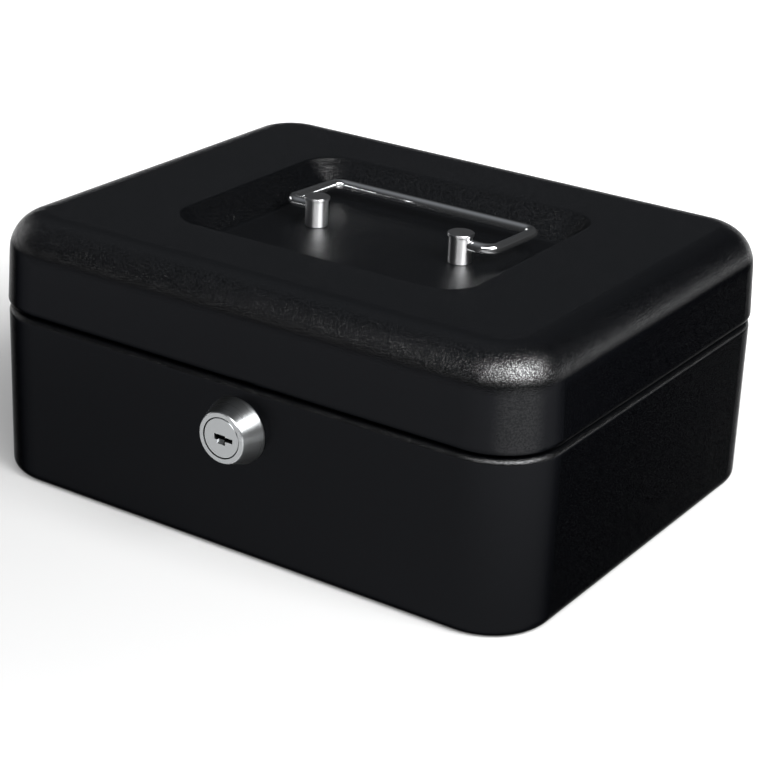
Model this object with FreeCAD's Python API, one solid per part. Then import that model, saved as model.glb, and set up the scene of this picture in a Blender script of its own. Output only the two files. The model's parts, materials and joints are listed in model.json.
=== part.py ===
# A small steel cash box. A drawn tub carries a coin tray and a key lock. A drawn lid with a sunk
# handle well turns on a rear barrel hinge, and a cam on the lock hooks a strike inside the lid.
# X runs along the front, Y from front to back and Z up. The origin is the centre of the underside.
import FreeCAD
import Part
import math
import os

Vec = FreeCAD.Vector
X_AXIS = Vec(1, 0, 0)
Y_AXIS = Vec(0, 1, 0)
Z_AXIS = Vec(0, 0, 1)
ORIGIN = Vec(0, 0, 0)

# Driving dimensions, in millimetres and degrees.
BOX_WIDTH = 200.0
BOX_DEPTH = 159.0
BOX_HEIGHT = 87.5
SEAM_HEIGHT = 56.9
SHEET = 0.8
CORNER_RADIUS = 20.6
FOOT_RADIUS = 3.8
LID_TOP_RADIUS = 12.6
LID_DRAFT = 2.8
LID_OVERHANG = 0.2
SEAM_GAP = 0.3
FLAT_CORNER = 2.0

# Rims: the base steps in under the lid and stands up behind it as a lip.
SHOULDER_RADIUS = 2.0
SHOULDER_LAND = 1.0
LIP_BEND = 0.6
LIP_TOP = 62.5
CURL_RADIUS = 2.4
CURL_LAND = 0.8

# Handle well sunk into the lid's top.
WELL_WIDTH = 110.4
WELL_DEPTH = 89.8
WELL_CORNER = 13.0
WELL_SINK = 8.5
WELL_SLOPE = 42.0
WELL_EDGE_RADIUS = 1.2
WELL_FLOOR_RADIUS = 3.0
WELL_LAND = 1.5
WELL_FLAT_CORNER = 1.0

# Carrying handle: a wire bail sprung into two turned posts, a little right of the middle.
HANDLE_X = 0.5
POST_SPACING = 54.9
POST_RADIUS = 3.75
POST_RISE = 1.3
POST_HEAD_RADIUS = 4.25
POST_HEAD_HEIGHT = 1.1
POST_CHAMFER = 0.25
BAIL_HEIGHT = 6.2
BAIL_DROOP = 2.5
BAIL_WIDTH = 77.6
BAIL_REACH = 28.0
BAIL_BEND = 4.2
WIRE_RADIUS = 1.75
RUNNING_FIT = 0.05
BAIL_HOLE_DEPTH = 5.5
WIRE_INSERT = 4.9

# Fasteners under the well.
POST_SCREW_RADIUS = 2.0
POST_SCREW_GRIP = 3.2
POST_WASHER_RADIUS = 4.8
POST_WASHER_THICK = 0.8
PAN_HEAD_RADIUS = 3.7
PAN_HEAD_HEIGHT = 2.2
PAN_HEAD_BEVEL = 0.66
DRIVE_RADIUS = 1.9
DRIVE_BLADE = 0.7
DRIVE_DEPTH = 1.2

# Barrel hinge along the back.
HINGE_INSET = 1.1
HINGE_LENGTH = 120.0
HINGE_KNUCKLES = 5
KNUCKLE_RADIUS = 2.0
KNUCKLE_GAP = 0.3
HINGE_PIN_RADIUS = 1.1
HINGE_LEAF = 0.8
HINGE_LEAF_HEIGHT = 15.0
HINGE_CLEAR = 0.4
HINGE_NOTCH_SIDE = 1.0
HINGE_NOTCH_DEPTH = 6.0

# Key lock. Depths along the lock count inwards from the outer face of the front wall.
LOCK_X = 1.65
LOCK_HEIGHT = 41.9
NOSE_LENGTH = 7.5
NOSE_BASE_RADIUS = 10.65
NOSE_FACE_RADIUS = 8.2
NOSE_EDGE = 0.3
BARREL_RADIUS = 8.0
BARREL_FLAT = 7.1
BARREL_END = 13.5
PLUG_HEAD_RADIUS = 6.25
PLUG_HEAD_LENGTH = 2.2
PLUG_RADIUS = 5.6
PLUG_SINK = 0.1
PLUG_CHAMFER = 0.1
FACE_GROOVE = 0.3
FACE_GROOVE_DEPTH = 0.7
KEYWAY_LEFT = -2.5
KEYWAY_MIDDLE = 1.5
KEYWAY_RIGHT = 4.2
KEYWAY_LOW = -0.8
KEYWAY_HIGH = 1.0
KEYWAY_STEP = 0.4
KEYWAY_LEG = 0.8
KEYWAY_LEG_LOW = -2.1
KEYWAY_END = 9.0
BEVEL_LEFT = -1.5
BEVEL_RIGHT = 0.7
BEVEL_HEIGHT = 1.2
BEVEL_DEPTH = 0.9
WAFERS = 5
WAFER_THICK = 0.9
WAFER_PITCH = 2.2
WAFER_FIRST = -4.0
WAFER_HEIGHT = 5.4
WAFER_LENGTH = 9.4
WAFER_WINDOW = 6.9
WAFER_WINDOW_HEIGHT = 2.6
WAFER_SLACK = 0.05
LOCK_WASHER_RADIUS = 11.6
LOCK_WASHER_THICK = 0.6
NUT_ACROSS_FLATS = 21.0
NUT_THICK = 3.5
TAIL_ACROSS_FLATS = 7.0
TAIL_SINK = 0.2
END_PLAY = 0.1
STOP_THICK = 0.8
STOP_DISC_RADIUS = 6.0
STOP_EAR_RADIUS = 7.8
STOP_EAR_ANGLE = 60.0
STOP_SLACK = 2.0
STOP_CLEAR = 0.4
LOCK_TURN = 90.0
CAM_THICK = 1.6
CAM_HUB_RADIUS = 5.7
CLAW_INNER = 9.5
CLAW_OUTER = 12.5
CLAW_ARM_ANGLE = 22.0
CLAW_TIP_ANGLE = 32.0
CAM_WASHER_RADIUS = 4.6
CAM_WASHER_THICK = 0.6
CAM_SCREW_RADIUS = 2.0
CAM_SCREW_GRIP = 5.0

# Strike inside the lid, which the cam's claw passes over.
STRIKE_SHEET = 1.2
STRIKE_LEFT = -15.0
STRIKE_RIGHT = 11.0
STRIKE_HOOK_RIGHT = -2.2
STRIKE_ARM_HEIGHT = 64.5
STRIKE_SHOULDER = 58.0
STRIKE_FOOT = 46.6
STRIKE_BEND = 2.0
STRIKE_WELD_HEIGHT = 8.0
STRIKE_SLOT_INNER = 9.0
STRIKE_SLOT_OUTER = 13.0
STRIKE_SLOT_START = 60.0
STRIKE_SLOT_END = 128.0
STRIKE_HUB_CLEAR = 6.6

# Lift-out coin tray on two ledges.
TRAY_TOP = 53.0
TRAY_FLANGE = 1.6
TRAY_FLANGE_WIDTH = 187.0
TRAY_FLANGE_DEPTH = 145.6
TRAY_FLANGE_CORNER = 20.0
TRAY_BODY_WIDTH = 177.0
TRAY_BODY_DEPTH = 137.0
TRAY_BODY_CORNER = 15.6
TRAY_BOTTOM = 22.0
TRAY_WALL = 1.6
TRAY_SCOOP = 15.0
TRAY_COLUMNS = 3
TRAY_NOTCH_BACK = -56.0
TRAY_NOTCH_RADIUS = 3.0
LEDGE_REACH = 8.2
LEDGE_SHEET = 1.0
LEDGE_DROP = 11.0
LEDGE_LENGTH = 90.0
LEDGE_BEND = 1.5

# How far cutting and joining shapes run past the faces that they meet.
RUN_PAST = 1.0

# Places that follow from the driving dimensions.
FRONT = -BOX_DEPTH / 2
BACK = BOX_DEPTH / 2
LID_HALF_X = BOX_WIDTH / 2 + LID_OVERHANG
LID_HALF_Y = BOX_DEPTH / 2 + LID_OVERHANG
LID_CORNER = CORNER_RADIUS + LID_OVERHANG
LID_RIM = SEAM_HEIGHT + SEAM_GAP / 2
SHOULDER_TOP = SEAM_HEIGHT - SEAM_GAP / 2
WELL_FLOOR = BOX_HEIGHT - WELL_SINK
BAIL_AXIS = WELL_FLOOR + BAIL_HEIGHT
HINGE_Y = BACK - HINGE_INSET
LEDGE_TOP = TRAY_TOP - TRAY_FLANGE
LEDGE_FACE = BOX_WIDTH / 2 - SHEET
STOP_AT = BARREL_END + END_PLAY
CAM_AT = STOP_AT + STOP_THICK
CAM_WASHER_AT = CAM_AT + CAM_THICK
CAM_SCREW_AT = CAM_WASHER_AT + CAM_WASHER_THICK
TAIL_END = CAM_WASHER_AT - TAIL_SINK
STRIKE_AT = CAM_AT + (CAM_THICK - STRIKE_SHEET)


def rounded_rectangle(half_x, half_y, radius, height=0.0):
    """A closed wire: a rectangle with round corners, at a height."""
    edges = []
    for quarter in range(4):
        sign_x, sign_y = ((1, 1), (-1, 1), (-1, -1), (1, -1))[quarter]
        centre = Vec(sign_x * (half_x - radius), sign_y * (half_y - radius), height)
        ends = [math.radians(90 * quarter + turn) for turn in (0, 45, 90)]
        first, middle, last = [centre + Vec(radius * math.cos(a), radius * math.sin(a), 0) for a in ends]
        if edges:
            edges.append(Part.LineSegment(edges[-1].EndPoint, first))
        edges.append(Part.Arc(first, middle, last))
    edges.append(Part.LineSegment(edges[-1].EndPoint, edges[0].StartPoint))
    return Part.Wire([edge.toShape() for edge in edges])


def plate(half_x, half_y, radius, bottom, thickness):
    """A flat plate with round corners."""
    return Part.Face(rounded_rectangle(half_x, half_y, radius, bottom)).extrude(Vec(0, 0, thickness))


def folded_path(start, heading, folds, offset):
    """Edges of a bent strip's face in the YZ plane. Each fold is (run, turn in degrees, bend radius).
    A left turn is positive. The path is moved to the left by the offset, as a sheet's other face is."""
    edges = []
    angle = math.radians(heading)
    place = Vec(0, start[0], start[1])
    for run, turn, radius in folds:
        ahead = Vec(0, math.cos(angle), math.sin(angle))
        left = Vec(0, -math.sin(angle), math.cos(angle))
        if run > 0:
            edges.append(Part.LineSegment(place + left * offset, place + (ahead * run) + left * offset))
            place = place + ahead * run
        if turn:
            side = 1 if turn > 0 else -1
            centre = place + left * (side * radius)
            reach = radius - side * offset
            spots = []
            for share in (0, 0.5, 1):
                swung = angle + math.radians(turn) * share
                out = Vec(0, math.sin(swung), -math.cos(swung)) * side
                spots.append(centre + out * reach)
            edges.append(Part.Arc(*spots))
            angle += math.radians(turn)
            place = centre + Vec(0, math.sin(angle), -math.cos(angle)) * (side * radius)
    return edges


def sheet_section(start, heading, folds, thickness):
    """The cross-section of bent sheet: its outer face follows the folds and its thickness lies to the left."""
    outer = folded_path(start, heading, folds, 0.0)
    inner = folded_path(start, heading, folds, thickness)
    far_edge = Part.LineSegment(outer[-1].EndPoint, inner[-1].EndPoint)
    near_edge = Part.LineSegment(inner[0].StartPoint, outer[0].StartPoint)
    loop = outer + [far_edge] + inner[::-1] + [near_edge]
    return Part.Face(Part.Wire(Part.__sortEdges__([edge.toShape() for edge in loop])))


def around_rectangle(section, half_x, half_y, radius):
    """Carries a section, drawn in YZ with Y = 0 on the outline, once round a rounded rectangle."""
    pieces = []
    corner_x, corner_y = half_x - radius, half_y - radius
    centres = [Vec(corner_x, corner_y, 0), Vec(-corner_x, corner_y, 0)]
    centres += [Vec(-corner_x, -corner_y, 0), Vec(corner_x, -corner_y, 0)]
    for quarter, centre in enumerate(centres):
        entry = section.copy()
        entry.translate(Vec(0, radius, 0))
        entry.rotate(ORIGIN, Z_AXIS, 90 * quarter - 90)
        entry.translate(centre)
        pieces.append(entry.revolve(centre, Z_AXIS, 90))
        leaving = entry.copy()
        leaving.rotate(centre, Z_AXIS, 90)
        pieces.append(leaving.extrude(centres[(quarter + 1) % 4] - centre))
    return pieces


def joined(pieces):
    """One solid from pieces that share faces."""
    return pieces[0].multiFuse(pieces[1:]).removeSplitter()


def block(low, high):
    """A box between two corners."""
    return Part.makeBox(high[0] - low[0], high[1] - low[1], high[2] - low[2], Vec(*low))


def turned(profile, centre, axis):
    """A turned piece: (radius, distance along the axis) points, revolved about the axis."""
    base = [Vec(radius, 0, along) for radius, along in profile]
    solid = Part.Face(Part.makePolygon(base + base[:1])).revolve(ORIGIN, Z_AXIS, 360)
    solid.Placement = FreeCAD.Placement(centre, FreeCAD.Rotation(Z_AXIS, axis))
    return solid


def on_lock_axis(depth):
    """The point on the lock's axis at a depth behind the front wall's outer face."""
    return Vec(LOCK_X, FRONT + depth, LOCK_HEIGHT)


def lock_block(low, high):
    """A box between two corners, each (X from the lock's axis, depth, Z from the lock's axis)."""
    base = on_lock_axis(0)
    return block(base + Vec(*low), base + Vec(*high))


def lock_disc(radius, start, end):
    """A round piece on the lock's axis between two depths."""
    return Part.makeCylinder(radius, end - start, on_lock_axis(start), Y_AXIS)


def lock_sector(inner, outer, first, last, start, end):
    """A ring sector about the lock's axis, its angles counted from +X towards +Z."""
    corners = []
    for radius, angles in ((outer, (first, (first + last) / 2, last)), (inner, (last, (first + last) / 2, first))):
        spots = [math.radians(a) for a in angles]
        corners.append([Vec(radius * math.cos(a), 0, radius * math.sin(a)) for a in spots])
    edges = [Part.Arc(*corners[0]).toShape(), Part.makeLine(corners[0][2], corners[1][0])]
    edges += [Part.Arc(*corners[1]).toShape(), Part.makeLine(corners[1][2], corners[0][0])]
    face = Part.Face(Part.Wire(edges))
    face.translate(on_lock_axis(start))
    return face.extrude(Vec(0, end - start, 0))


def pan_screw(place, axis, shank_radius, grip):
    """A pan head screw with a cross recess. The head sits at the place and the shank runs along the axis."""
    outline = [(0, grip), (shank_radius, grip), (shank_radius, 0), (PAN_HEAD_RADIUS, 0)]
    outline += [(PAN_HEAD_RADIUS, PAN_HEAD_BEVEL - PAN_HEAD_HEIGHT)]
    outline += [(PAN_HEAD_RADIUS - PAN_HEAD_BEVEL, -PAN_HEAD_HEIGHT), (0, -PAN_HEAD_HEIGHT)]
    screw = turned(outline, ORIGIN, Z_AXIS)
    for long_x, long_y in ((DRIVE_RADIUS, DRIVE_BLADE / 2), (DRIVE_BLADE / 2, DRIVE_RADIUS)):
        low = (-long_x, -long_y, -PAN_HEAD_HEIGHT - RUN_PAST)
        screw = screw.cut(block(low, (long_x, long_y, DRIVE_DEPTH - PAN_HEAD_HEIGHT)))
    screw.Placement = FreeCAD.Placement(place, FreeCAD.Rotation(Z_AXIS, axis))
    return screw


def base_shell():
    """The drawn tub: floor, upright walls, a rounded shoulder and the lip that stands inside the lid."""
    floor_run = CORNER_RADIUS - FLAT_CORNER - FOOT_RADIUS
    wall_run = SHOULDER_TOP - SHOULDER_RADIUS - FOOT_RADIUS
    lip_run = LIP_TOP - SHOULDER_TOP - LIP_BEND
    folds = [(floor_run, 90, FOOT_RADIUS), (wall_run, 90, SHOULDER_RADIUS)]
    folds += [(SHOULDER_LAND, -90, LIP_BEND), (lip_run, 0, 0)]
    section = sheet_section((FLAT_CORNER - CORNER_RADIUS, 0), 0, folds, SHEET)
    half_x, half_y = BOX_WIDTH / 2, BOX_DEPTH / 2
    inset = CORNER_RADIUS - FLAT_CORNER
    pieces = around_rectangle(section, half_x, half_y, CORNER_RADIUS)
    pieces.append(plate(half_x - inset, half_y - inset, FLAT_CORNER, 0, SHEET))
    shell = joined(pieces)
    notch_half = HINGE_LENGTH / 2 + HINGE_NOTCH_SIDE
    notch_floor = SEAM_HEIGHT - KNUCKLE_RADIUS - HINGE_CLEAR
    notch_low = (-notch_half, BACK - HINGE_NOTCH_DEPTH, notch_floor)
    shell = shell.cut(block(notch_low, (notch_half, BACK + RUN_PAST, LIP_TOP + RUN_PAST)))
    return shell.cut(lock_barrel(-RUN_PAST, SHEET + RUN_PAST))


def lid_shell():
    """The drawn lid: a curled rim, leaning walls, a broad top radius and the sunk handle well."""
    wall_top = BOX_HEIGHT - LID_TOP_RADIUS * (1 - math.sin(math.radians(LID_DRAFT)))
    wall_bottom = LID_RIM + CURL_RADIUS * (1 + math.sin(math.radians(LID_DRAFT)))
    lean = math.radians(LID_DRAFT)
    wall_run = (wall_top - wall_bottom) / math.cos(lean)
    top_start = CURL_RADIUS * (1 - math.cos(lean)) + wall_run * math.sin(lean) + LID_TOP_RADIUS * math.cos(lean)
    top_run = LID_CORNER - FLAT_CORNER - top_start
    folds = [(CURL_LAND, 90 + LID_DRAFT, CURL_RADIUS), (wall_run, 90 - LID_DRAFT, LID_TOP_RADIUS), (top_run, 0, 0)]
    section = sheet_section((-CURL_RADIUS - CURL_LAND, LID_RIM), 0, folds, SHEET)
    pieces = around_rectangle(section, LID_HALF_X, LID_HALF_Y, LID_CORNER)
    inset = LID_CORNER - FLAT_CORNER
    roof = plate(LID_HALF_X - inset, LID_HALF_Y - inset, FLAT_CORNER, BOX_HEIGHT - SHEET, SHEET)
    half_x, half_y = WELL_WIDTH / 2, WELL_DEPTH / 2
    mouth = plate(half_x + WELL_LAND, half_y + WELL_LAND, WELL_CORNER + WELL_LAND, BOX_HEIGHT - SHEET, SHEET)
    pieces.append(roof.cut(mouth))
    pieces += handle_well(half_x, half_y)
    shell = joined(pieces)
    notch_half = HINGE_LENGTH / 2 + HINGE_NOTCH_SIDE
    notch_roof = LID_RIM + CURL_RADIUS
    notch_low = (-notch_half, BACK - HINGE_NOTCH_DEPTH, LID_RIM - RUN_PAST)
    shell = shell.cut(block(notch_low, (notch_half, BACK + RUN_PAST, notch_roof)))
    for side in (-1, 1):
        start = post_place(side, WELL_FLOOR - SHEET - RUN_PAST)
        shell = shell.cut(Part.makeCylinder(POST_SCREW_RADIUS, SHEET + 2 * RUN_PAST, start))
    return shell


def handle_well(half_x, half_y):
    """The well's edge, sloping wall and floor, as pieces of the lid's own sheet."""
    slope = math.radians(WELL_SLOPE)
    bends = (WELL_EDGE_RADIUS + WELL_FLOOR_RADIUS) * (1 - math.cos(slope))
    slope_run = (WELL_SINK - bends) / math.sin(slope)
    edge_run = WELL_LAND
    reach = edge_run + (WELL_EDGE_RADIUS + WELL_FLOOR_RADIUS) * math.sin(slope) + slope_run * math.cos(slope)
    inset = WELL_CORNER - WELL_FLAT_CORNER
    floor_run = inset + WELL_LAND - reach
    folds = [(edge_run, WELL_SLOPE, WELL_EDGE_RADIUS), (slope_run, -WELL_SLOPE, WELL_FLOOR_RADIUS), (floor_run, 0, 0)]
    section = sheet_section((WELL_LAND, BOX_HEIGHT), 180, folds, SHEET)
    pieces = around_rectangle(section, half_x, half_y, WELL_CORNER)
    pieces.append(plate(half_x - inset, half_y - inset, WELL_FLAT_CORNER, WELL_FLOOR - SHEET, SHEET))
    return pieces


def knuckle_spans(leaf):
    """The hinge's knuckles that belong to the base (0) or the lid (1), as (start, end) along X."""
    pitch = HINGE_LENGTH / HINGE_KNUCKLES
    starts = [-HINGE_LENGTH / 2 + pitch * k for k in range(HINGE_KNUCKLES) if k % 2 == leaf]
    return [(start + KNUCKLE_GAP / 2, start + pitch - KNUCKLE_GAP / 2) for start in starts]


def hinge_leaf(leaf):
    """One leaf: a flat strip welded inside the back wall, rolled into knuckles at its edge."""
    axis = Vec(-HINGE_LENGTH / 2, HINGE_Y, SEAM_HEIGHT)
    half = HINGE_LENGTH / 2 - KNUCKLE_GAP / 2
    if leaf == 0:
        face_y = BACK - SHEET
        low, high = SEAM_HEIGHT - HINGE_LEAF_HEIGHT, SEAM_HEIGHT
        strip = block((-half, face_y - HINGE_LEAF, low), (half, face_y, high))
    else:
        lean = math.radians(LID_DRAFT)
        curl_side = CURL_RADIUS * (1 - math.cos(lean))
        wall_foot = LID_RIM + CURL_RADIUS * (1 + math.sin(lean))
        pivot = Vec(0, LID_HALF_Y - curl_side - SHEET * math.cos(lean), wall_foot - SHEET * math.sin(lean))
        strip = block((-half, pivot.y - HINGE_LEAF, SEAM_HEIGHT), (half, pivot.y, SEAM_HEIGHT + HINGE_LEAF_HEIGHT))
        strip.rotate(pivot, X_AXIS, LID_DRAFT)
    body = strip
    for start, end in knuckle_spans(leaf):
        body = body.fuse(Part.makeCylinder(KNUCKLE_RADIUS, end - start, Vec(start, axis.y, axis.z), X_AXIS))
    for start, end in knuckle_spans(1 - leaf):
        room = Part.makeCylinder(KNUCKLE_RADIUS + HINGE_CLEAR, end - start + 2 * KNUCKLE_GAP,
                                 Vec(start - KNUCKLE_GAP, axis.y, axis.z), X_AXIS)
        body = body.cut(room)
    bore = HINGE_PIN_RADIUS + (RUNNING_FIT if leaf else 0)
    return body.cut(Part.makeCylinder(bore, HINGE_LENGTH, axis, X_AXIS))


def hinge_pin():
    """The hinge's plain steel pin."""
    return Part.makeCylinder(HINGE_PIN_RADIUS, HINGE_LENGTH, Vec(-HINGE_LENGTH / 2, HINGE_Y, SEAM_HEIGHT), X_AXIS)


def lock_barrel(start, end):
    """The lock's round barrel with two flats that stop it turning in the wall."""
    flats = lock_block((-BARREL_RADIUS, start, -BARREL_FLAT), (BARREL_RADIUS, end, BARREL_FLAT))
    return lock_disc(BARREL_RADIUS, start, end).common(flats)


def lock_housing():
    """The die-cast housing: a tapered nose outside the wall, a flatted barrel inside and a stop at its end."""
    face = -NOSE_LENGTH
    outline = [(0, face), (NOSE_FACE_RADIUS - NOSE_EDGE, face), (NOSE_FACE_RADIUS, face + NOSE_EDGE)]
    outline += [(NOSE_BASE_RADIUS, -NOSE_EDGE), (NOSE_BASE_RADIUS, 0), (0, 0)]
    nose = turned(outline, on_lock_axis(0), Y_AXIS)
    body = nose.fuse(lock_barrel(0, BARREL_END))
    stop_start = LOCK_TURN + STOP_EAR_ANGLE / 2 + STOP_SLACK
    stop_end = 360 - STOP_EAR_ANGLE / 2 - STOP_SLACK
    stop_inner = STOP_DISC_RADIUS + STOP_CLEAR
    body = body.fuse(lock_sector(stop_inner, BARREL_FLAT, stop_start, stop_end, BARREL_END, CAM_AT - END_PLAY))
    step = face + PLUG_HEAD_LENGTH
    mouth = PLUG_HEAD_RADIUS + RUNNING_FIT
    throat = PLUG_RADIUS + RUNNING_FIT
    groove_floor = face + FACE_GROOVE_DEPTH
    bore = [(0, face - RUN_PAST), (mouth + FACE_GROOVE, face - RUN_PAST), (mouth + FACE_GROOVE, groove_floor)]
    bore += [(mouth, groove_floor), (mouth, step), (throat, step), (throat, CAM_AT + RUN_PAST)]
    bore += [(0, CAM_AT + RUN_PAST)]
    return body.cut(turned(bore, on_lock_axis(0), Y_AXIS))


def keyway():
    """The stepped slot that the key enters, with a leg below it and a bevelled lip that guides the key in."""
    start, end = -NOSE_LENGTH - RUN_PAST, KEYWAY_END
    upper = lock_block((KEYWAY_LEFT, start, KEYWAY_LOW), (KEYWAY_MIDDLE, end, KEYWAY_HIGH))
    lower = lock_block((KEYWAY_LEFT, start, KEYWAY_LOW), (KEYWAY_RIGHT, end, KEYWAY_HIGH - KEYWAY_STEP))
    leg = lock_block((KEYWAY_MIDDLE - KEYWAY_LEG, start, KEYWAY_LEG_LOW), (KEYWAY_MIDDLE, end, KEYWAY_HIGH))
    face = PLUG_SINK - NOSE_LENGTH
    outside = face - RUN_PAST
    lip = [(outside, KEYWAY_LOW), (outside, KEYWAY_LOW - BEVEL_HEIGHT), (face, KEYWAY_LOW - BEVEL_HEIGHT)]
    lip += [(face + BEVEL_DEPTH, KEYWAY_LOW), (outside, KEYWAY_LOW)]
    wedge = Part.Face(Part.makePolygon([on_lock_axis(0) + Vec(BEVEL_LEFT, depth, height) for depth, height in lip]))
    return upper.fuse([lower, leg, wedge.extrude(Vec(BEVEL_RIGHT - BEVEL_LEFT, 0, 0))])


def wafer_place(index):
    """The depth at which a wafer's front face lies."""
    return WAFER_FIRST + index * WAFER_PITCH


def lock_plug():
    """The plug that the key turns: a stepped cylinder with a keyway, wafer slots and a square tail."""
    face = PLUG_SINK - NOSE_LENGTH
    step = PLUG_HEAD_LENGTH - NOSE_LENGTH - RUNNING_FIT
    outline = [(0, face), (PLUG_HEAD_RADIUS - PLUG_CHAMFER, face), (PLUG_HEAD_RADIUS, face + PLUG_CHAMFER)]
    outline += [(PLUG_HEAD_RADIUS, step), (PLUG_RADIUS, step), (PLUG_RADIUS, STOP_AT), (0, STOP_AT)]
    half = TAIL_ACROSS_FLATS / 2
    tail = lock_block((-half, STOP_AT, -half), (half, TAIL_END, half))
    plug = turned(outline, on_lock_axis(0), Y_AXIS).fuse(tail).cut(keyway())
    room_z = WAFER_HEIGHT / 2 + WAFER_SLACK
    room_x = PLUG_RADIUS + RUN_PAST
    for index in range(WAFERS):
        start = wafer_place(index) - WAFER_SLACK
        end = start + WAFER_THICK + 2 * WAFER_SLACK
        plug = plug.cut(lock_block((-room_x, start, -room_z), (room_x, end, room_z)))
    return plug.cut(lock_disc(CAM_SCREW_RADIUS, CAM_SCREW_AT - CAM_SCREW_GRIP, TAIL_END + RUN_PAST))


def wafer_tumblers():
    """The flat wafers across the plug, each with a window that the key passes through."""
    wafers = []
    middle = (KEYWAY_LEFT + KEYWAY_RIGHT) / 2
    half_z, half_x = WAFER_HEIGHT / 2, WAFER_LENGTH / 2
    window_z, window_x = WAFER_WINDOW_HEIGHT / 2, WAFER_WINDOW / 2
    for index in range(WAFERS):
        start = wafer_place(index)
        end = start + WAFER_THICK
        wafer = lock_block((-half_x, start, -half_z), (half_x, end, half_z))
        window_low = (middle - window_x, start - RUN_PAST, -window_z)
        wafers.append(wafer.cut(lock_block(window_low, (middle + window_x, end + RUN_PAST, window_z))))
    return Part.makeCompound(wafers)


def lock_washer():
    """The flat washer behind the front wall."""
    ring = lock_disc(LOCK_WASHER_RADIUS, SHEET, SHEET + LOCK_WASHER_THICK)
    return ring.cut(lock_disc(BARREL_RADIUS + RUNNING_FIT, SHEET, SHEET + LOCK_WASHER_THICK))


def lock_nut():
    """The thin hexagon nut that clamps the lock to the wall, its rear corners chamfered."""
    start = SHEET + LOCK_WASHER_THICK
    circumradius = NUT_ACROSS_FLATS / 2 / math.cos(math.radians(30))
    spots = [math.radians(60 * k) for k in range(7)]
    hexagon = [Vec(circumradius * math.cos(a), 0, circumradius * math.sin(a)) + on_lock_axis(start) for a in spots]
    nut = Part.Face(Part.makePolygon(hexagon)).extrude(Vec(0, NUT_THICK, 0))
    bevel = circumradius - NUT_ACROSS_FLATS / 2
    crown = [(0, start), (circumradius, start), (circumradius, start + NUT_THICK - bevel)]
    crown += [(NUT_ACROSS_FLATS / 2, start + NUT_THICK), (0, start + NUT_THICK)]
    nut = nut.common(turned(crown, on_lock_axis(0), Y_AXIS))
    return nut.cut(lock_disc(BARREL_RADIUS + RUNNING_FIT, start, start + NUT_THICK))


def square_hole(start, end):
    """The square hole that keys a plate, between two depths, to the plug's tail."""
    half = TAIL_ACROSS_FLATS / 2 + RUNNING_FIT
    return lock_block((-half, start - RUN_PAST, -half), (half, end + RUN_PAST, half))


def turn_stop_washer():
    """The eared washer that lets the plug turn a quarter turn between the ends of the housing's stop."""
    disc = lock_disc(STOP_DISC_RADIUS, STOP_AT, CAM_AT)
    half = STOP_EAR_ANGLE / 2
    ear = lock_sector(STOP_DISC_RADIUS - RUN_PAST, STOP_EAR_RADIUS, -half, half, STOP_AT, CAM_AT)
    return disc.fuse(ear).removeSplitter().cut(square_hole(STOP_AT, CAM_AT))


def lock_cam():
    """The hooked cam: a hub, an arm and a claw whose faces are round about the lock's axis."""
    start, end = CAM_AT, CAM_WASHER_AT
    hub = lock_disc(CAM_HUB_RADIUS, start, end)
    arm = lock_sector(CAM_HUB_RADIUS - RUN_PAST, CLAW_OUTER, -CLAW_ARM_ANGLE, 0, start, end)
    claw = lock_sector(CLAW_INNER, CLAW_OUTER, -CLAW_ARM_ANGLE, CLAW_TIP_ANGLE, start, end)
    return hub.fuse([arm, claw]).removeSplitter().cut(square_hole(start, end))


def cam_washer():
    """The washer under the cam's screw."""
    ring = lock_disc(CAM_WASHER_RADIUS, CAM_WASHER_AT, CAM_SCREW_AT)
    return ring.cut(lock_disc(CAM_SCREW_RADIUS, CAM_WASHER_AT, CAM_SCREW_AT))


def cam_screw():
    """The screw that holds the cam on the plug's tail."""
    return pan_screw(on_lock_axis(CAM_SCREW_AT), Vec(0, -1, 0), CAM_SCREW_RADIUS, CAM_SCREW_GRIP)


def lid_strike():
    """The bent bracket welded inside the lid's front: its hook hangs beside the lock for the claw to pass over."""
    lean = math.radians(LID_DRAFT)
    wall_foot = LID_RIM + CURL_RADIUS * (1 + math.sin(lean))
    curl_side = CURL_RADIUS * (1 - math.cos(lean))
    wall_face = -LID_HALF_Y + curl_side + SHEET / math.cos(lean) - wall_foot * math.tan(lean)
    weld_top = STRIKE_ARM_HEIGHT + STRIKE_WELD_HEIGHT
    weld_start = (wall_face + weld_top * math.tan(lean), weld_top)
    knee_y = wall_face + STRIKE_ARM_HEIGHT * math.tan(lean)
    upper_tangent = STRIKE_BEND * math.tan(math.radians(90 + LID_DRAFT) / 2)
    lower_bend = STRIKE_BEND - STRIKE_SHEET
    weld_run = STRIKE_WELD_HEIGHT / math.cos(lean) - upper_tangent
    arm_run = FRONT + STRIKE_AT - knee_y - upper_tangent - lower_bend
    drop = STRIKE_ARM_HEIGHT - lower_bend - STRIKE_FOOT
    folds = [(weld_run, 90 + LID_DRAFT, STRIKE_BEND), (arm_run, -90, lower_bend), (drop, 0, 0)]
    section = sheet_section(weld_start, -90 - LID_DRAFT, folds, STRIKE_SHEET)
    section.translate(Vec(LOCK_X + STRIKE_LEFT, 0, 0))
    strike = section.extrude(Vec(STRIKE_RIGHT - STRIKE_LEFT, 0, 0))
    start, end = STRIKE_AT - RUN_PAST, STRIKE_AT + STRIKE_SHEET + RUN_PAST
    clear_side = lock_block((STRIKE_HOOK_RIGHT, start, STRIKE_FOOT - LOCK_HEIGHT - RUN_PAST),
                            (STRIKE_RIGHT + RUN_PAST, end, STRIKE_SHOULDER - LOCK_HEIGHT))
    slot = lock_sector(STRIKE_SLOT_INNER, STRIKE_SLOT_OUTER, STRIKE_SLOT_START, STRIKE_SLOT_END, start, end)
    hub_room = lock_disc(STRIKE_HUB_CLEAR, start, end)
    return strike.cut(clear_side).cut(slot).cut(hub_room)


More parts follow.
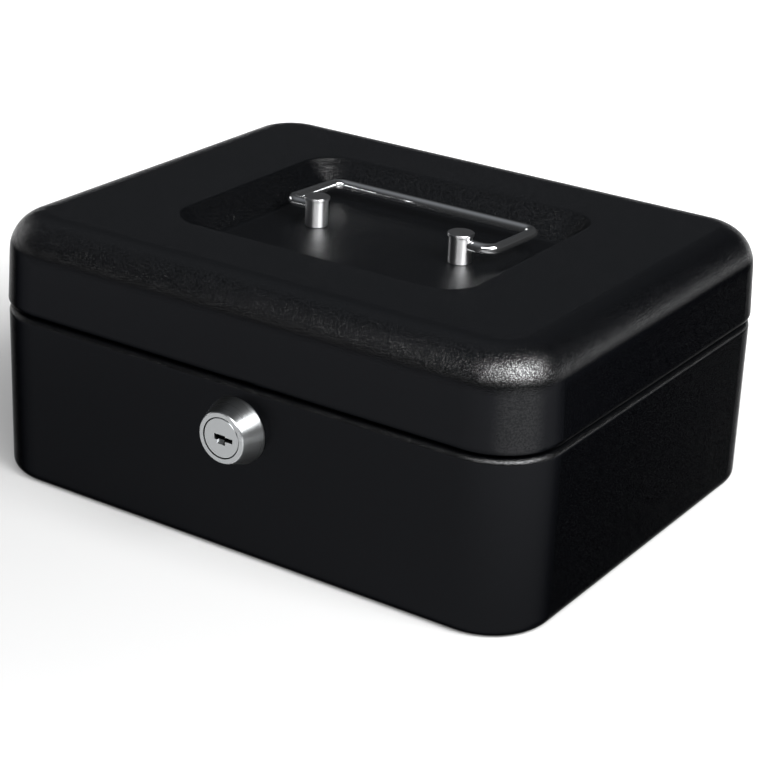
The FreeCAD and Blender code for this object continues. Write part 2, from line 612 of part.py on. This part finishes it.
def post_place(side, height):
    """A point on a post's axis. Side is -1 for the left post and 1 for the right."""
    return Vec(HANDLE_X + side * POST_SPACING / 2, 0, height)


def handle_post(side):
    """A turned post with a flat head, a cross hole for the bail's end and a blind hole for its screw."""
    height = WELL_SINK + POST_RISE
    neck = height - POST_HEAD_HEIGHT
    outline = [(0, 0), (POST_RADIUS - POST_CHAMFER, 0), (POST_RADIUS, POST_CHAMFER), (POST_RADIUS, neck)]
    outline += [(POST_HEAD_RADIUS, neck + POST_CHAMFER), (POST_HEAD_RADIUS, height - POST_CHAMFER)]
    outline += [(POST_HEAD_RADIUS - POST_CHAMFER, height), (0, height)]
    post = turned(outline, post_place(side, WELL_FLOOR), Z_AXIS)
    mouth = post_place(side, BAIL_AXIS) + Vec(side * (POST_RADIUS + RUN_PAST), 0, 0)
    hole_run = BAIL_HOLE_DEPTH + RUN_PAST
    post = post.cut(Part.makeCylinder(WIRE_RADIUS + RUNNING_FIT, hole_run, mouth, Vec(-side, 0, 0)))
    return post.cut(Part.makeCylinder(POST_SCREW_RADIUS, POST_SCREW_GRIP - SHEET, post_place(side, WELL_FLOOR)))


def handle_bail():
    """The bright wire bail, lying towards the back in the well with its bar drooping a little."""
    half = BAIL_WIDTH / 2
    inner = POST_SPACING / 2 + POST_RADIUS - WIRE_INSERT
    corners = [Vec(inner, 0, 0), Vec(half, 0, 0), Vec(half, BAIL_REACH, 0)]
    corners += [Vec(-half, BAIL_REACH, 0), Vec(-half, 0, 0), Vec(-inner, 0, 0)]
    edges = []
    last = corners[0]
    for before, corner, after in zip(corners, corners[1:], corners[2:]):
        come, go = (corner - before).normalize(), (after - corner).normalize()
        enter, leave = corner - come * BAIL_BEND, corner + go * BAIL_BEND
        centre = enter + go * BAIL_BEND
        middle = centre + (corner - centre).normalize() * BAIL_BEND
        edges += [Part.makeLine(last, enter), Part.Arc(enter, middle, leave).toShape()]
        last = leave
    edges.append(Part.makeLine(last, corners[-1]))
    ring = Part.Wire(Part.makeCircle(WIRE_RADIUS, corners[0], X_AXIS))
    bail = Part.Wire(edges).makePipeShell([ring], True, False)
    bail.rotate(ORIGIN, X_AXIS, -BAIL_DROOP)
    bail.translate(Vec(HANDLE_X, 0, BAIL_AXIS))
    return bail


def post_washers():
    """The two washers under the lid's well."""
    rings = []
    for side in (-1, 1):
        place = post_place(side, WELL_FLOOR - SHEET - POST_WASHER_THICK)
        ring = Part.makeCylinder(POST_WASHER_RADIUS, POST_WASHER_THICK, place)
        rings.append(ring.cut(Part.makeCylinder(POST_SCREW_RADIUS, POST_WASHER_THICK, place)))
    return Part.makeCompound(rings)


def post_screws():
    """The two screws that hold the posts, driven up from inside the lid."""
    height = WELL_FLOOR - SHEET - POST_WASHER_THICK
    places = [post_place(side, height) for side in (-1, 1)]
    grip = POST_SCREW_GRIP + POST_WASHER_THICK
    return Part.makeCompound([pan_screw(place, Z_AXIS, POST_SCREW_RADIUS, grip) for place in places])


def coin_cup(low, high, scoop):
    """One cup as a solid: upright sides and a floor that scoops up at the front and back."""
    start, end = low[1], high[1]
    depth = high[2] - low[2]
    folds = [(depth - scoop, 90, scoop), (end - start - 2 * scoop, 90, scoop), (depth - scoop, 0, 0)]
    edges = folded_path((start, high[2]), -90, folds, 0.0)
    edges.append(Part.LineSegment(edges[-1].EndPoint, edges[0].StartPoint))
    section = Part.Face(Part.Wire([edge.toShape() for edge in edges]))
    section.translate(Vec(low[0], 0, 0))
    return section.extrude(Vec(high[0] - low[0], 0, 0))


def cup_width():
    """The width of each column of cups, with a wall between columns."""
    return (TRAY_BODY_WIDTH - (TRAY_COLUMNS + 1) * TRAY_WALL) / TRAY_COLUMNS


def coin_cups():
    """The corners (low, high) of the cups' hollows, column by column: a front and a back cup in each."""
    half_y = TRAY_BODY_DEPTH / 2 - TRAY_WALL
    pitch = cup_width() + TRAY_WALL
    cups = []
    for column in range(TRAY_COLUMNS):
        middle = (column - (TRAY_COLUMNS - 1) / 2) * pitch
        front = TRAY_NOTCH_BACK + TRAY_WALL if middle == 0 else -half_y
        for start, end in ((front, -TRAY_WALL / 2), (TRAY_WALL / 2, half_y)):
            low = (middle - cup_width() / 2, start, TRAY_BOTTOM + TRAY_WALL)
            cups.append((low, (middle + cup_width() / 2, end, TRAY_TOP)))
    return cups


def coin_tray():
    """The moulded tray: thin scooped cups hung from a flange, with a notch that clears the lock."""
    half_x, half_y = TRAY_BODY_WIDTH / 2, TRAY_BODY_DEPTH / 2
    height = TRAY_TOP - TRAY_BOTTOM
    outside = plate(half_x, half_y, TRAY_BODY_CORNER, TRAY_BOTTOM, height)
    inside = plate(half_x - TRAY_WALL, half_y - TRAY_WALL, TRAY_BODY_CORNER - TRAY_WALL, TRAY_BOTTOM, height)
    skins, hollows = [], []
    for low, high in coin_cups():
        skin_low = [place - TRAY_WALL for place in low]
        skin_high = [high[0] + TRAY_WALL, high[1] + TRAY_WALL, high[2]]
        skins.append(coin_cup(skin_low, skin_high, TRAY_SCOOP + TRAY_WALL).common(outside))
        hollows.append(coin_cup(low, high, TRAY_SCOOP).common(inside))
    rim = plate(TRAY_FLANGE_WIDTH / 2, TRAY_FLANGE_DEPTH / 2, TRAY_FLANGE_CORNER, LEDGE_TOP, TRAY_FLANGE)
    notch_half_y = TRAY_FLANGE_DEPTH / 2 + TRAY_NOTCH_BACK
    notch_run = height + 2 * RUN_PAST
    notch = plate(cup_width() / 2, notch_half_y, TRAY_NOTCH_RADIUS, TRAY_BOTTOM - RUN_PAST, notch_run)
    notch.translate(Vec(0, -TRAY_FLANGE_DEPTH / 2, 0))
    tray = rim.multiFuse(skins).cut(notch)
    for hollow in hollows:
        tray = tray.cut(hollow)
    return tray.removeSplitter()


def tray_ledge(side):
    """A bent strip welded to a side wall, with the shelf that the tray's flange rests on."""
    drop = LEDGE_DROP - LEDGE_BEND
    reach = LEDGE_REACH - LEDGE_BEND
    section = sheet_section((0, LEDGE_TOP - LEDGE_DROP), 90, [(drop, 90, LEDGE_BEND), (reach, 0, 0)], LEDGE_SHEET)
    section.translate(Vec(-LEDGE_LENGTH / 2, 0, 0))
    ledge = section.extrude(Vec(LEDGE_LENGTH, 0, 0))
    ledge.rotate(ORIGIN, Z_AXIS, -90 * side)
    ledge.translate(Vec(side * LEDGE_FACE, 0, 0))
    return ledge


PIECES = {
    "base_shell": base_shell(),
    "lid_shell": lid_shell(),
    "hinge_leaf_base": hinge_leaf(0),
    "hinge_leaf_lid": hinge_leaf(1),
    "hinge_pin": hinge_pin(),
    "lock_housing": lock_housing(),
    "lock_washer": lock_washer(),
    "lock_nut": lock_nut(),
    "lock_plug": lock_plug(),
    "wafer_tumblers": wafer_tumblers(),
    "turn_stop_washer": turn_stop_washer(),
    "lock_cam": lock_cam(),
    "cam_washer": cam_washer(),
    "cam_screw": cam_screw(),
    "lid_strike": lid_strike(),
    "handle_post_left": handle_post(-1),
    "handle_post_right": handle_post(1),
    "handle_bail": handle_bail(),
    "post_washers": post_washers(),
    "post_screws": post_screws(),
    "coin_tray": coin_tray(),
    "tray_ledge_left": tray_ledge(-1),
    "tray_ledge_right": tray_ledge(1),
}

os.makedirs("parts", exist_ok=True)
for name, shape in PIECES.items():
    shape.exportStep(f"parts/{name}.step")
    print(name, "solids", len(shape.Solids), "valid", shape.isValid(), "volume", round(shape.Volume, 1))
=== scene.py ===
# The looks of a small steel cash box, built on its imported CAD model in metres.
# X runs along the front, Y from the lock to the hinge and Z up; the origin is under the box's middle.
import bpy
import json
import math
from mathutils import Matrix, Vector

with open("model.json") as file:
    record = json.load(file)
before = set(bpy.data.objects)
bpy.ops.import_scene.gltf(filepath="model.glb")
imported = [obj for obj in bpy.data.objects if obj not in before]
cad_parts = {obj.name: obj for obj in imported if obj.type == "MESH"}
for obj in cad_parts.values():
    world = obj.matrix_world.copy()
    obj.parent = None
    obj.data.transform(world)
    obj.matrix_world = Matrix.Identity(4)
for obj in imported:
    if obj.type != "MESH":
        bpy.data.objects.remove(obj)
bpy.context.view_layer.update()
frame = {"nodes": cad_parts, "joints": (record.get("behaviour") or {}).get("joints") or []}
nodes = frame["nodes"]

# Base tub and tray ledges. The tub is drawn from thin steel sheet, and the ledges are welded inside it.
# Black powder is sprayed on and baked, with a fine grain. Its gloss is painted by which way a face looks:
# dull on the walls, as painted shade, and glossier on what looks upward, as painted sheen with painted
# sparkle on the rounded edges.


class Value:
    """A socket in a node tree. Sums on it add Math nodes, so shader maths reads as plain Python."""

    def __init__(self, tree, socket):
        self.tree = tree
        self.socket = socket

    def maths(self, operation, *terms):
        """Adds one Math node, whose terms are values or plain numbers."""
        made = self.tree.nodes.new("ShaderNodeMath")
        made.operation = operation
        for socket, term in zip(made.inputs, terms):
            if isinstance(term, Value):
                self.tree.links.new(term.socket, socket)
            else:
                socket.default_value = term
        return Value(self.tree, made.outputs[0])

    def __add__(self, other):
        return self.maths("ADD", self, other)

    def __radd__(self, other):
        return self.maths("ADD", other, self)

    def __sub__(self, other):
        return self.maths("SUBTRACT", self, other)

    def __rsub__(self, other):
        return self.maths("SUBTRACT", other, self)

    def __mul__(self, other):
        return self.maths("MULTIPLY", self, other)

    def __rmul__(self, other):
        return self.maths("MULTIPLY", other, self)

    def __pow__(self, other):
        return self.maths("POWER", self, other)

    def __gt__(self, other):
        return self.maths("GREATER_THAN", self, other)

    def __lt__(self, other):
        return self.maths("LESS_THAN", self, other)

    def __abs__(self):
        return self.maths("ABSOLUTE", self)

    def at_least(self, other):
        """The larger of this and another value."""
        return self.maths("MAXIMUM", self, other)


class Finish:
    """A material or a world that is being mixed from nodes."""

    def __init__(self, holder):
        holder.use_nodes = True
        self.holder = holder
        self.tree = holder.node_tree
        self.tree.nodes.clear()

    def node(self, kind, settings=None, sockets=None, output=0):
        """Adds any node: first its settings, then its sockets' values or links. Returns one output."""
        made = self.tree.nodes.new(kind)
        for key, setting in (settings or {}).items():
            setattr(made, key, setting)
        for key, term in (sockets or {}).items():
            if isinstance(term, Value):
                self.tree.links.new(term.socket, made.inputs[key])
            else:
                made.inputs[key].default_value = term
        return Value(self.tree, made.outputs[output]) if made.outputs else None

    def place(self):
        """The point on the surface, in the object's own metres."""
        return self.node("ShaderNodeTexCoord", output="Object")

    def facing(self, axis):
        """How squarely the surface faces along an axis of the object, from -1 to 1."""
        normal = self.node("ShaderNodeTexCoord", output="Normal")
        return self.node("ShaderNodeSeparateXYZ", None, {0: normal}, axis)

    def noise(self, at, size, detail=2.0, roughness=0.5):
        """Soft noise from 0 to 1 whose blotches are about the given size across, in metres."""
        sockets = {"Vector": at, "Scale": 1.0 / size, "Detail": detail, "Roughness": roughness}
        return self.node("ShaderNodeTexNoise", None, sockets)

    def ramp(self, value, low, high):
        """Eases from 0 to 1 as the value runs from low to high."""
        sockets = {"Value": value, "From Min": low, "From Max": high}
        return self.node("ShaderNodeMapRange", {"interpolation_type": "SMOOTHSTEP"}, sockets)

    def bump(self, height, depth):
        """A normal that follows a height from 0 to 1, this deep in metres."""
        return self.node("ShaderNodeBump", None, {"Height": height, "Distance": depth, "Strength": 1.0})

    def mix(self, share, low, high):
        """A colour between two colours. Sockets 6 and 7 and output 2 are the node's own for colours."""
        sockets = {"Factor": share, 6: (*low, 1.0), 7: (*high, 1.0)}
        return self.node("ShaderNodeMix", {"data_type": "RGBA"}, sockets, 2)

    def shader(self, **sockets):
        """A Principled shader. An underscore in a socket's name stands for a space."""
        named = {key.replace("_", " "): term for key, term in sockets.items()}
        return self.node("ShaderNodeBsdfPrincipled", None, named)

    def done(self, surface):
        """Ends a material in a shader."""
        self.node("ShaderNodeOutputMaterial", None, {"Surface": surface})
        return self.holder


def wear(material, *names):
    """Puts one material on CAD nodes."""
    for name in names:
        nodes[name].data.materials.clear()
        nodes[name].data.materials.append(material)


def powder_coat(name, upward_sheen_share, corner_sheen_share):
    """Baked powder. The shares say how much painted sheen, a glossier shader, goes on upward faces and on
    upright corners.
    """
    grain_size = 0.00045
    fine_size = 0.0003
    speck_size = 0.00052
    cloud_size = 0.045
    dull_shade_relief = 0.00010
    glossy_sheen_relief = 0.00021
    upward_band = (0.18, 0.48)
    closed_band = (0.72, 0.97)
    corner_band = (0.1, 0.24)
    speck_band = (0.32, 0.64)
    least_speck = 0.4
    coat = Finish(bpy.data.materials.new(name))
    at = coat.place()
    fine = coat.noise(at, fine_size, detail=1.0)
    cloud = coat.noise(at, cloud_size, detail=3.0)
    relief = coat.noise(at, grain_size, detail=1.0) * 0.5 + fine * 0.5
    roughness = 0.21 + fine * 0.05 + cloud * 0.03
    # The dull shader is a dark, tinted metal to the renderer, so that it stays dull at a glancing view:
    # painted shade that keeps the upright walls black.
    dull_shade_coat = coat.shader(
        Base_Color=(0.0099, 0.0103, 0.0115, 1.0),
        Metallic=1.0,
        Roughness=roughness,
        Specular_Tint=(0.41, 0.41, 0.41, 1.0),
        Normal=coat.bump(relief, dull_shade_relief),
    )
    # The glossy shader is painted sheen, for the faces that look upward.
    glossy_sheen_coat = coat.shader(
        Base_Color=(0.0018, 0.0021, 0.0027, 1.0),
        Roughness=roughness,
        IOR=1.75,
        Normal=coat.bump(relief, glossy_sheen_relief),
    )
    # The glossy shader is laid on by which way a face looks, as painted sheen: full on flat tops, and broken
    # into specks where the faces round over, as painted sparkle where the highlights fall.
    along, across, up = (coat.facing(axis) for axis in "XYZ")
    upward = coat.ramp(up, *upward_band) * upward_sheen_share
    corner = coat.ramp((along * across) ** 2.0, *corner_band) * corner_sheen_share
    dots = coat.ramp(coat.noise(at, speck_size, detail=0.0), *speck_band)
    speck = least_speck + (1.0 - least_speck) * dots
    closed = coat.ramp(up, *closed_band)
    share = upward.at_least(corner) * speck.at_least(closed)
    return coat.done(coat.node("ShaderNodeMixShader", None, {0: share, 1: dull_shade_coat, 2: glossy_sheen_coat}))


black_coat = powder_coat("black_powder_coat", upward_sheen_share=0.65, corner_sheen_share=0.0)
wear(black_coat, "base_shell", "tray_ledge_left", "tray_ledge_right")

# Barrel hinge. Two steel leaves are welded inside the back walls and rolled round a plain pin.
# The leaves are sprayed with the box; the pin is zinc plated and stays bright.


def zinc_plate():
    cloud_size = 0.004
    scratch_size = 0.0005
    scratch_depth = 0.000012
    zinc = Finish(bpy.data.materials.new("zinc_plate"))
    at = zinc.place()
    cloud = zinc.noise(at, cloud_size, detail=4.0, roughness=0.6)
    scratch = zinc.noise(at, scratch_size)
    plate = zinc.shader(
        Base_Color=zinc.mix(cloud, (0.50, 0.51, 0.52), (0.63, 0.62, 0.57)),
        Metallic=1.0,
        Roughness=0.30 + cloud * 0.16,
        Normal=zinc.bump(scratch, scratch_depth),
    )
    return zinc.done(plate)


bright_zinc = zinc_plate()
wear(black_coat, "hinge_leaf_base", "hinge_leaf_lid")
wear(bright_zinc, "hinge_pin")

# Lock. A die-cast housing with a tapered nose, turned to a satin face, holds a round plug and its wafers.
# The keyway and the ring groove round the plug are coloured near black inside, as painted shade. A washer
# and a nut clamp the housing to the wall; stop washer, cam, washer and screw stack on the plug's tail.


def lock_nickel():
    lock_x, _, lock_z = next(joint["pos_m"] for joint in frame["joints"] if joint["name"] == "lock_turn")
    plug_face = min(vertex.co.y for vertex in nodes["lock_plug"].data.vertices)
    groove_inner = 0.0062
    groove_outer = 0.0067
    groove_lip = 0.0001
    keyway_bevel = 0.0009
    shade_run = 0.0003
    mark_size = 0.00022
    mark_depth = 0.000010
    nickel = Finish(bpy.data.materials.new("lock_nickel"))
    at = nickel.place()
    # The tool's marks run round the lock, so their noise changes fast along its axis and slowly across.
    drawn_out = nickel.node("ShaderNodeVectorMath", {"operation": "MULTIPLY"}, {0: at, 1: (0.02, 1.0, 0.02)})
    marks = nickel.noise(drawn_out, mark_size, roughness=0.6)
    flat = nickel.node("ShaderNodeVectorMath", {"operation": "MULTIPLY"}, {0: at, 1: (1.0, 0.0, 1.0)})
    middle = (lock_x, 0.0, lock_z)
    radius = nickel.node("ShaderNodeVectorMath", {"operation": "DISTANCE"}, {0: flat, 1: middle}, "Value")
    behind = nickel.node("ShaderNodeSeparateXYZ", None, {0: at}, "Y") - plug_face
    # Below the face, inside the ring groove and the keyway past its bevel, the colour is painted near black:
    # painted shade in the recesses.
    shade_from = groove_lip + keyway_bevel * (radius < groove_inner)
    inside = nickel.ramp(behind - shade_from, 0.0, shade_run) * (radius < groove_outer)
    satin = nickel.shader(
        Base_Color=nickel.mix(inside, (0.432, 0.445, 0.452), (0.012, 0.012, 0.012)),
        Metallic=1.0,
        Roughness=0.24 + marks * 0.10,
        Normal=nickel.bump(marks, mark_depth),
    )
    return nickel.done(satin)


def stamped_brass():
    grain_size = 0.0006
    brass = Finish(bpy.data.materials.new("stamped_brass"))
    grain = brass.noise(brass.place(), grain_size)
    # Its colour is painted far darker than bare brass: painted shade for wafers that are seen only deep in
    # the keyway.
    wafer = brass.shader(
        Base_Color=brass.mix(grain, (0.24, 0.17, 0.07), (0.32, 0.24, 0.11)),
        Metallic=1.0,
        Roughness=0.28 + grain * 0.1,
    )
    return brass.done(wafer)


wear(lock_nickel(), "lock_housing", "lock_plug")
wear(stamped_brass(), "wafer_tumblers")
wear(bright_zinc, "lock_washer", "lock_nut", "turn_stop_washer", "lock_cam", "cam_washer", "cam_screw")

# Lid. Drawn from the same sheet, with a curled rim, leaning walls, a broad top radius and a sunk well.
# Its coat is given painted sheen, the glossier shader, all over the top, and a little of it on the upright
# corners as a painted highlight.
# The strike that the cam hooks is a bent zinc-plated strip welded inside its front wall.
wear(powder_coat("lid_powder_coat", upward_sheen_share=1.0, corner_sheen_share=0.22), "lid_shell")
wear(bright_zinc, "lid_strike")

# Handle. Two nickel-plated posts, turned with flat heads, are held to the well's floor by screws
# and washers from below. A bail of chromed wire springs into the holes across them.


def post_nickel():
    cloud_size = 0.002
    nickel = Finish(bpy.data.materials.new("post_nickel"))
    cloud = nickel.noise(nickel.place(), cloud_size)
    sides = nickel.shader(
        Base_Color=(0.66, 0.66, 0.67, 1.0),
        Metallic=1.0,
        Roughness=0.36 + cloud * 0.04,
        Anisotropic=0.9,
        Anisotropic_Rotation=0.25,
    )
    # The flat heads get a satin finish without the turned streaks, and a colour a little darker than the
    # sides: painted shade on the tops.
    head = nickel.shader(Base_Color=(0.58, 0.58, 0.59, 1.0), Metallic=1.0, Roughness=0.30 + cloud * 0.1)
    upward = nickel.facing("Z") > 0.9
    return nickel.done(nickel.node("ShaderNodeMixShader", None, {0: upward, 1: sides, 2: head}))


def bright_chrome():
    haze_size = 0.003
    chrome = Finish(bpy.data.materials.new("bright_chrome"))
    haze = chrome.noise(chrome.place(), haze_size)
    return chrome.done(chrome.shader(
        Base_Color=(0.90, 0.91, 0.92, 1.0),
        Metallic=0.98,
        Roughness=0.08 + haze * 0.05,
    ))


wear(post_nickel(), "handle_post_left", "handle_post_right")
wear(bright_zinc, "post_washers", "post_screws")
wear(bright_chrome(), "handle_bail")

# Coin tray. One moulded piece of black plastic, with scooped cups and a fine grain from the mould.
# It hangs on the ledges by its flange, and lifts out.


def tray_plastic():
    grain_size = 0.0006
    grain_depth = 0.00003
    plastic = Finish(bpy.data.materials.new("tray_plastic"))
    grain = plastic.noise(plastic.place(), grain_size)
    moulded = plastic.shader(
        Base_Color=plastic.mix(grain, (0.014, 0.014, 0.015), (0.020, 0.020, 0.021)),
        Roughness=0.48 + grain * 0.1,
        IOR=1.46,
        Normal=plastic.bump(grain, grain_depth),
    )
    return plastic.done(moulded)


wear(tray_plastic(), "coin_tray")

# Studio. The floor is white to the camera and in reflections, and its glow dims near the box: a painted
# shadow round the box's foot, added to the shadow the lamps cast.
# One softbox in front, one on the right and a faint panel on the left light the box.
# The world glows along the horizon behind the box and high on the left, for the metal to reflect.


def floor_paint():
    shadow_place = (-0.03, -0.08, 0.0)
    shadow_radius = 0.08
    white_radius = 0.42
    shadow_glow = 0.12
    paint = Finish(bpy.data.materials.new("floor_paint"))
    rays = ("Is Camera Ray", "Is Glossy Ray", "Is Transmission Ray")
    seen = sum(paint.node("ShaderNodeLightPath", output=ray) for ray in rays)
    ends = {0: paint.place(), 1: shadow_place}
    away = paint.node("ShaderNodeVectorMath", {"operation": "DISTANCE"}, ends, "Value")
    # The glow dims towards a point just in front of the box, whatever the lamps do: painted shadow round its
    # foot.
    glow = seen * (shadow_glow + (1.0 - shadow_glow) * paint.ramp(away, shadow_radius, white_radius))
    matt = paint.shader(
        Base_Color=(0.55, 0.55, 0.55, 1.0),
        Roughness=0.9,
        Specular_IOR_Level=0.0,
        Emission_Color=paint.node("ShaderNodeCombineColor", None, {0: glow, 1: glow, 2: glow}),
        Emission_Strength=1.0,
    )
    return paint.done(matt)


floor_half = 6.0
floor_corners = [(-floor_half, -floor_half, 0), (floor_half, -floor_half, 0)]
floor_corners += [(floor_half, floor_half, 0), (-floor_half, floor_half, 0)]
floor_mesh = bpy.data.meshes.new("floor")
floor_mesh.from_pydata(floor_corners, [], [(0, 1, 2, 3)])
floor_mesh.materials.append(floor_paint())
floor = bpy.data.objects.new("floor", floor_mesh)
bpy.context.scene.collection.objects.link(floor)

box_middle = Vector((0.0, 0.0, 0.05))


def outward(azimuth, elevation):
    """A unit vector away from the box. Both angles are in degrees, and the azimuth counts from the
    front towards the right."""
    turn = math.radians(azimuth)
    rise = math.radians(elevation)
    return Vector((math.sin(turn) * math.cos(rise), -math.cos(turn) * math.cos(rise), math.sin(rise)))


def soft_light(name, direction, distance, width, height, watts):
    """A flat lamp that faces the box's middle."""
    lamp = bpy.data.lights.new(name, "AREA")
    lamp.shape = "RECTANGLE"
    lamp.size = width
    lamp.size_y = height
    lamp.energy = watts
    holder = bpy.data.objects.new(name, lamp)
    holder.location = box_middle + direction * distance
    holder.rotation_euler = (-direction).to_track_quat("-Z", "Y").to_euler()
    bpy.context.scene.collection.objects.link(holder)


soft_light("front_softbox", outward(37, 42), distance=1.0, width=1.2, height=0.28, watts=12.0)
soft_light("right_softbox", outward(78, 40), distance=1.0, width=0.55, height=0.5, watts=12.0)
soft_light("left_panel", outward(-95, 12), distance=1.2, width=0.6, height=0.3, watts=1.0)

even_glow = 0.015
horizon_glow = 0.33
horizon_falloff = 20.0
high_left_glow = 0.42
high_left_falloff = 3.0
sky = Finish(bpy.data.worlds.new("studio"))
heading = sky.node("ShaderNodeTexCoord", output="Generated")
right, back, up = (sky.node("ShaderNodeSeparateXYZ", None, {0: heading}, axis) for axis in "XYZ")
horizon = horizon_glow * back.at_least(0.0) * (1.0 - abs(up)) ** horizon_falloff
high_left = high_left_glow * (0.0 - right).at_least(0.0) * up.at_least(0.0) ** high_left_falloff
cool_white = (0.94, 0.98, 1.05, 1.0)
strength = even_glow + horizon + high_left
shine = sky.node("ShaderNodeBackground", None, {"Color": cool_white, "Strength": strength})
sky.node("ShaderNodeOutputWorld", None, {"Surface": shine})
bpy.context.scene.world = sky.holder
bpy.context.scene.view_settings.view_transform = "Standard"

# Camera. A long lens a little above the lid, turned to show the front and the right side.
# Its place, roll and focal length were found by laying the box's outline over the photograph.
camera_azimuth = 33.007
camera_elevation = 22.982
camera_roll = math.radians(2.347)
camera_distance = 0.71456
camera_target = Vector((0.0, 0.0, 0.03148))
image_pixels = 759.0
focal_pixels = 2181.0
sensor_width = 36.0

backward = outward(camera_azimuth, camera_elevation)
level_side = outward(camera_azimuth + 90.0, 0.0)
level_up = backward.cross(level_side)
camera_side = level_side * math.cos(camera_roll) + level_up * math.sin(camera_roll)
camera_up = level_up * math.cos(camera_roll) - level_side * math.sin(camera_roll)
camera_turn = Matrix((camera_side, camera_up, backward)).transposed()
lens = bpy.data.cameras.new("camera")
lens.sensor_width = sensor_width
lens.lens = focal_pixels / image_pixels * sensor_width
lens.clip_start = 0.05
camera = bpy.data.objects.new("camera", lens)
camera.matrix_world = Matrix.Translation(camera_target + backward * camera_distance) @ camera_turn.to_4x4()
bpy.context.scene.collection.objects.link(camera)
bpy.context.scene.camera = camera
